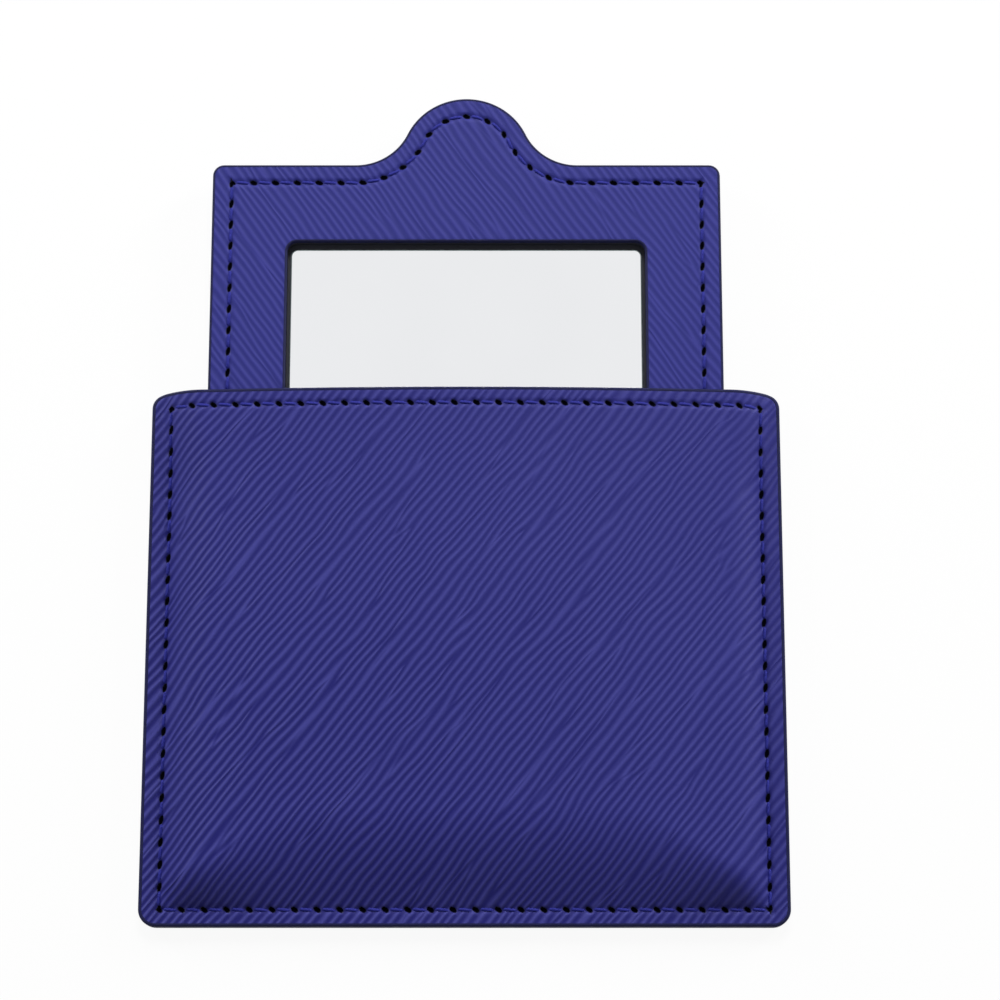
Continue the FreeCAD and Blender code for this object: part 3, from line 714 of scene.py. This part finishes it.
def woven_finish(name, look):
    """Plain-weave cloth, whose pattern is two sets of waves that cross."""
    graph = new_material(name)
    values = {"Vector": graph.millimetres(), "Scale": look.scale, "Distortion": WEAVE_SWAY,
              "Detail": look.detail}
    waves = []
    for direction in ("X", "Y"):
        waves.append(graph.add("ShaderNodeTexWave", values, bands_direction=direction).outputs["Fac"])
    graph.follow(graph.math("MAXIMUM", *waves), look)
    return graph.owner


def keep_solid(node, material):
    """Show a solid as it is, with a finish of its own."""
    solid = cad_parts[node]
    solid.data.materials.clear()
    solid.data.materials.append(material)


def dress(piece, body, slot, *nodes):
    """Put a piece on its body, in the place of the solids that it stands for."""
    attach(piece, body)
    if nodes:
        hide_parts(*nodes)


def dress_sleeve(plain):
    """The pieces of the sleeve, with the plain finishes by name."""
    leather = [grained_leather("sleeve_leather", SLEEVE_GRAIN), plain["needle_hole_shade"]]
    cloth = woven_finish("lining", WEAVE)
    outline = [SLEEVE_OUTLINE]
    seams, mouth = sleeve_seams()

    front = panel("sleeve_front", outline, front_height, LEATHER, leather, seams=seams + mouth)
    dress(front, "sleeve", "sleeve_leather", "sleeve_front_leather")
    back = panel("sleeve_back", outline, level(0), BACK_LEATHER, leather, facing=-1, seams=seams + mouth)
    dress(back, "sleeve", "sleeve_leather", "sleeve_back_leather")

    layers = (("front_stiffener", STIFFENER, plain["board"], "board", "sleeve_front_stiffener"),
              ("front_lining", LINING, cloth, "lining", "sleeve_front_lining"))
    depth = LEATHER + GLUE
    for name, thickness, material, slot, node in layers:
        layer = panel(name, outline, lowered(front_height, depth), thickness, [material],
                      step=FORMED_STEP, inset=HIDDEN_INSET)
        dress(layer, "sleeve", slot, node)
        depth += thickness + GLUE
    keep_solid("sleeve_back_stiffener", plain["board"])
    keep_solid("sleeve_back_lining", cloth)

    rows = (("seam_stitches", seams, front_height, 1, "seam_needle_thread"),
            ("mouth_stitches", mouth, front_height, 1, "front_mouth_thread"),
            ("back_seam_stitches", seams, level(THREAD_REST), -1, "seam_bobbin_thread"),
            ("back_mouth_stitches", mouth, level(THREAD_REST), -1, "back_mouth_thread"))
    for name, runs, height, facing, node in rows:
        dress(thread(name, runs, height, plain["thread"], facing), "sleeve", "thread", node)

    lip = SLEEVE_X - MOUTH_CORNER
    around = SLEEVE_OUTLINE[5:] + SLEEVE_OUTLINE[:4]
    across = [line((lip, SLEEVE_Y), (-lip, SLEEVE_Y))]
    beads = (("sleeve_edge", around, front_height, level(0)),
             ("front_mouth_edge", across, front_height, lowered(front_height, PANEL)),
             ("back_mouth_edge", across, level(PANEL), level(0)))
    for name, pieces, top, bottom in beads:
        bead = paint_bead(name, pieces, top, bottom, SLEEVE_WRAP, plain["edge_paint"], closed=False)
        dress(bead, "sleeve", "sleeve_leather")


def dress_insert(plain):
    """The pieces of the insert, with the plain finishes by name."""
    leather = [grained_leather("insert_leather", INSERT_GRAIN), plain["needle_hole_shade"]]
    seams = insert_seams()
    front, behind = level(FACE_TOP), level(BACK_LOW.z)

    face = panel("insert_face", [INSERT_OUTLINE, WINDOW_OUTLINE], front, FACE_TOP - FACE_UNDER, leather,
                 seams=seams)
    dress(face, "insert", "insert_leather", "insert_front_leather")
    back = panel("insert_back", [INSERT_OUTLINE], behind, BACK_HIGH.z - BACK_LOW.z, leather,
                 facing=-1, seams=seams)
    dress(back, "insert", "insert_leather", "insert_back_leather")

    rows = (("insert_stitches", front, 1, "insert_needle_thread"),
            ("insert_back_stitches", level(BACK_LOW.z + THREAD_REST), -1, "insert_bobbin_thread"))
    for name, height, facing, node in rows:
        dress(thread(name, seams, height, plain["thread"], facing), "insert", "thread", node)

    beads = (("insert_edge", INSERT_OUTLINE, behind),
             ("window_edge", WINDOW_OUTLINE, level(FACE_UNDER)))
    for name, outline, bottom in beads:
        bead = paint_bead(name, outline, front, bottom, INSERT_WRAP, plain["edge_paint"])
        dress(bead, "insert", "insert_leather")

    dress(glass(plain["mirror"], plain["ground_glass"]), "insert", "mirror", "mirror_glass")
    keep_solid("insert_core_frame", plain["board"])
    keep_solid("insert_back_board", plain["board"])
    keep_solid("mirror_tape", plain["tape"])


def make_floor():
    """A white table that shows the object's soft shadow."""
    mesh = bpy.data.meshes.new("floor")
    corners = [(x * FLOOR_HALF, y * FLOOR_HALF, 0) for x, y in ((-1, -1), (1, -1), (1, 1), (-1, 1))]
    mesh.from_pydata(corners, [], [(0, 1, 2, 3)])
    floor = bpy.data.objects.new("floor", mesh)
    floor.location.z = -FLOOR_GAP * MM
    bpy.context.scene.collection.objects.link(floor)
    graph = new_material("floor")
    graph.shade(Base_Color=FLOOR_COLOUR, Roughness=FLOOR_ROUGH, Specular_IOR_Level=0.0)
    matt = graph.tree.nodes["Principled BSDF"].outputs[0]
    glow = graph.add("ShaderNodeEmission", {"Color": WHITE, "Strength": 1.0}).outputs[0]
    share = graph.math("MULTIPLY", graph.seen(), FLOOR_GLOW_SHARE)
    mixed = graph.add("ShaderNodeMixShader", {0: share, 1: matt, 2: glow}).outputs[0]
    graph.put(graph.tree.nodes["Material Output"].inputs["Surface"], mixed)
    mesh.materials.append(graph.owner)


def make_world():
    """White to the camera and in reflections, and a plain even light on the object."""
    world = bpy.data.worlds.new("studio")
    bpy.context.scene.world = world
    graph = Graph(world)
    background = graph.tree.nodes["Background"]
    graph.put(background.inputs["Color"], WHITE)
    graph.put(background.inputs["Strength"], graph.remap(graph.seen(), 0.0, 1.0, WORLD_LIGHT, 1.0))


def make_light(name, place, size, power):
    """A round soft lamp that faces the object."""
    light = bpy.data.lights.new(name, "AREA")
    light.shape = "DISK"
    light.size = size
    light.energy = power
    lamp = bpy.data.objects.new(name, light)
    lamp.location = place
    lamp.rotation_euler = (Vector(LIGHT_AIM) - Vector(place)).to_track_quat("-Z", "Y").to_euler()
    bpy.context.scene.collection.objects.link(lamp)


def make_camera():
    """Nearly straight down, leaning back from the bottom of the sleeve."""
    camera = bpy.data.cameras.new("camera")
    camera.sensor_width = SENSOR
    camera.lens = FOCAL_PIXELS / IMAGE_SIZE * SENSOR
    eye = bpy.data.objects.new("camera", camera)
    lean = math.radians(CAMERA_LEAN)
    ahead = Vector((0, math.sin(lean), -math.cos(lean)))
    eye.location = (Vector((*CAMERA_AIM, 0)) - ahead * CAMERA_DISTANCE) * MM
    eye.rotation_mode = "QUATERNION"
    eye.rotation_quaternion = ahead.to_track_quat("-Z", "Y")
    bpy.context.scene.collection.objects.link(eye)
    bpy.context.scene.camera = eye


plain_finishes = {name: plain_finish(name, look) for name, look in FINISHES.items()}
dress_sleeve(plain_finishes)
dress_insert(plain_finishes)
make_floor()
make_world()
for lamp in LAMPS:
    make_light(*lamp)
make_camera()
bpy.context.scene.view_settings.view_transform = "Standard"
